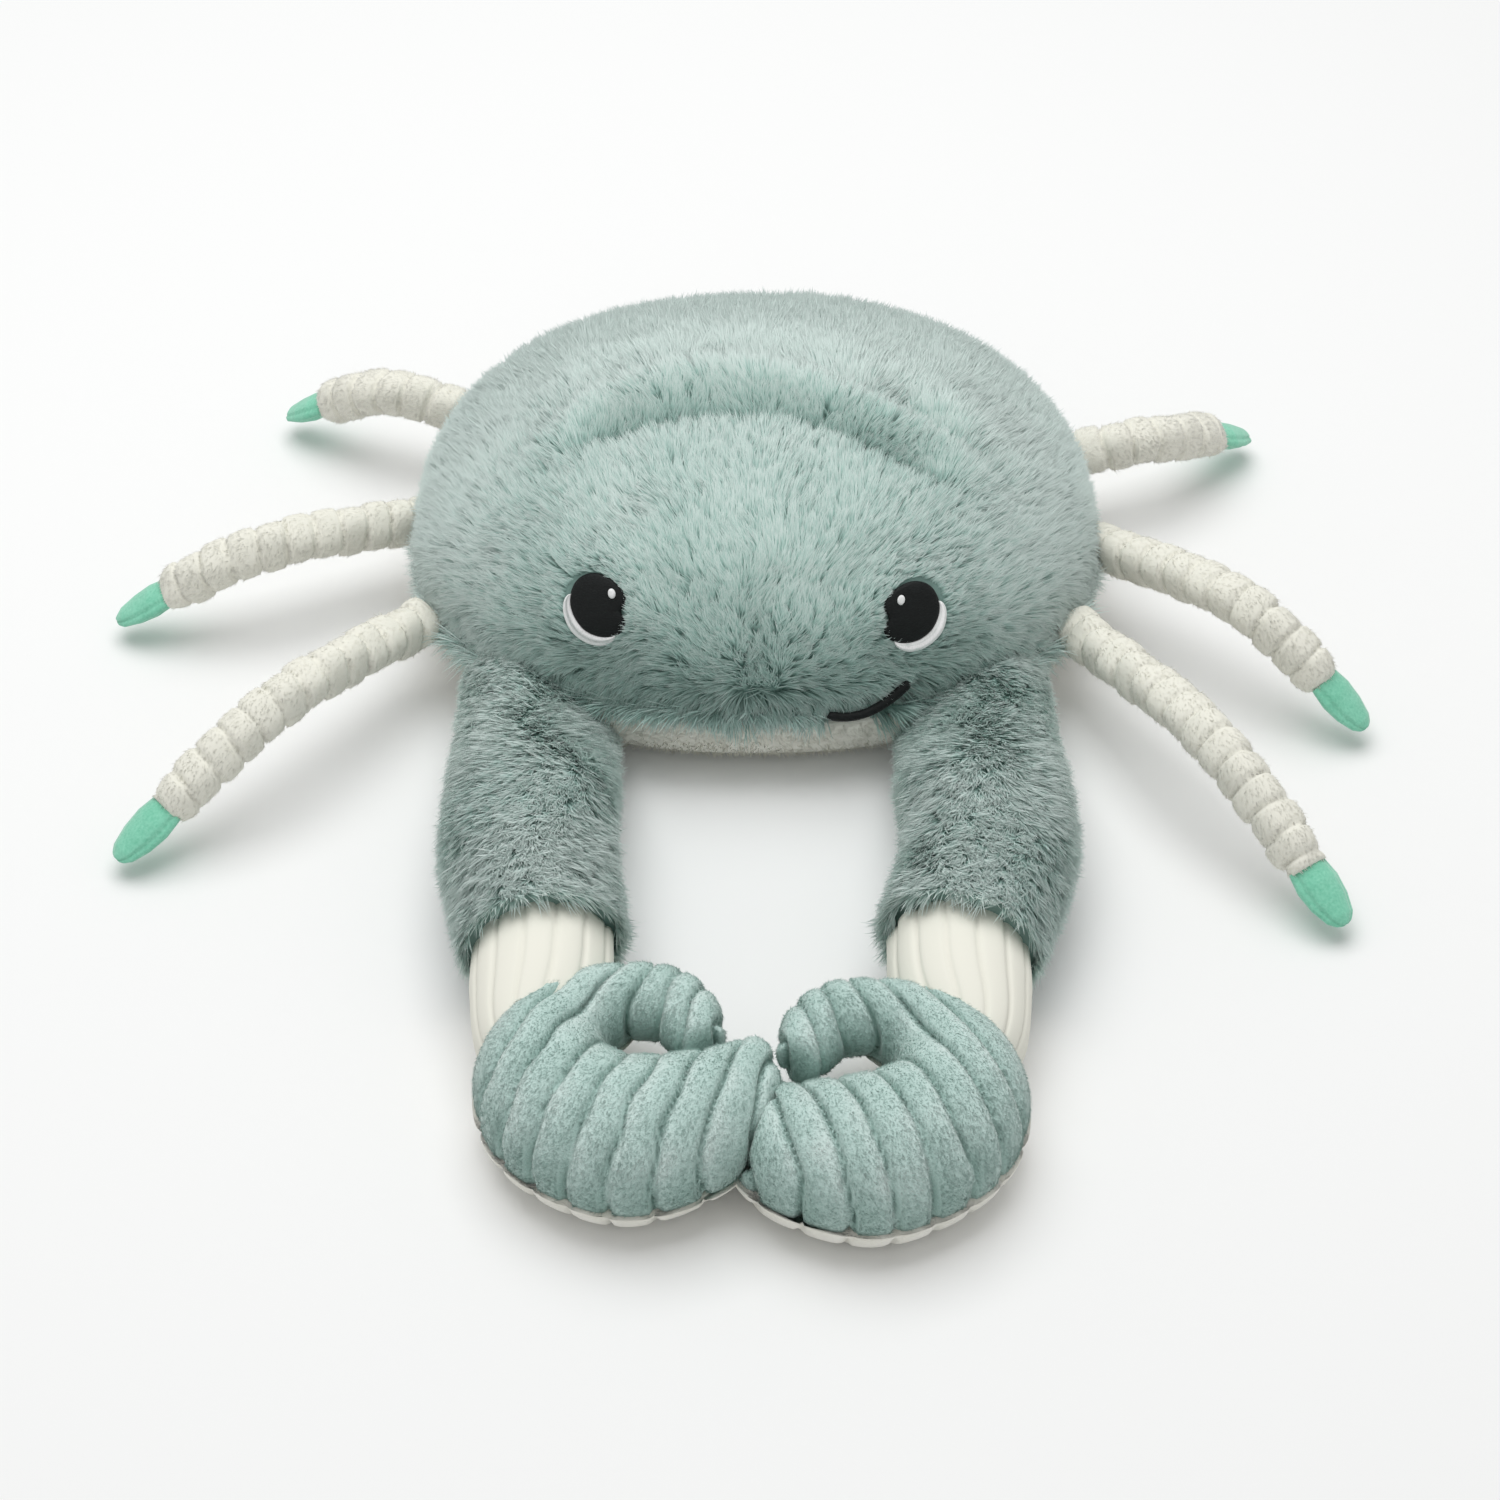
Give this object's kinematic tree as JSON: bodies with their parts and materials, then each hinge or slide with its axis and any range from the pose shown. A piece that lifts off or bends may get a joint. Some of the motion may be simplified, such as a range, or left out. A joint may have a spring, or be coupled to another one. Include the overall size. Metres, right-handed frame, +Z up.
{
  "type": "plush crab",
  "caption": "Stuffed crab toy lying on its belly: domed fur body, long arms with curled ribbed pincers, ringed legs with felt tips and an embroidered face.",
  "frame": {"origin": "middle of the flat patch under the belly, on the surface that the toy lies on", "axes": "+Z up; the face and the arms point to -Y; -X is the viewer's left when the face is seen"},
  "size_m": [0.4351, 0.4079, 0.1094],
  "materials": {
    "fur": "long soft pile fur",
    "cream_plush": "short plush pile",
    "cream_corduroy": "wide-wale corduroy, soft pile",
    "teal_corduroy": "wide-wale corduroy, soft pile",
    "mint_felt": "brushed felt",
    "black_thread": "satin-stitch embroidery",
    "white_thread": "satin-stitch embroidery"
  },
  "bodies": {
    "root": {"belly_panel": "cream_plush", "body": "fur", "claw_left": "teal_corduroy", "claw_right": "teal_corduroy", "claw_underside_left": "cream_corduroy", "claw_underside_right": "cream_corduroy", "cuff_left": "cream_corduroy", "cuff_right": "cream_corduroy", "eye_black_left": "black_thread", "eye_black_right": "black_thread", "eye_glint_left": "white_thread", "eye_glint_right": "white_thread", "eye_white_left": "white_thread", "eye_white_right": "white_thread", "leg_left_front": "cream_corduroy", "leg_left_mid": "cream_corduroy", "leg_left_rear": "cream_corduroy", "leg_right_front": "cream_corduroy", "leg_right_mid": "cream_corduroy", "leg_right_rear": "cream_corduroy", "mouth": "black_thread", "sleeve_left": "fur", "sleeve_right": "fur", "tip_left_front": "mint_felt", "tip_left_mid": "mint_felt", "tip_left_rear": "mint_felt", "tip_right_front": "mint_felt", "tip_right_mid": "mint_felt", "tip_right_rear": "mint_felt"}
  },
  "joints": []
}
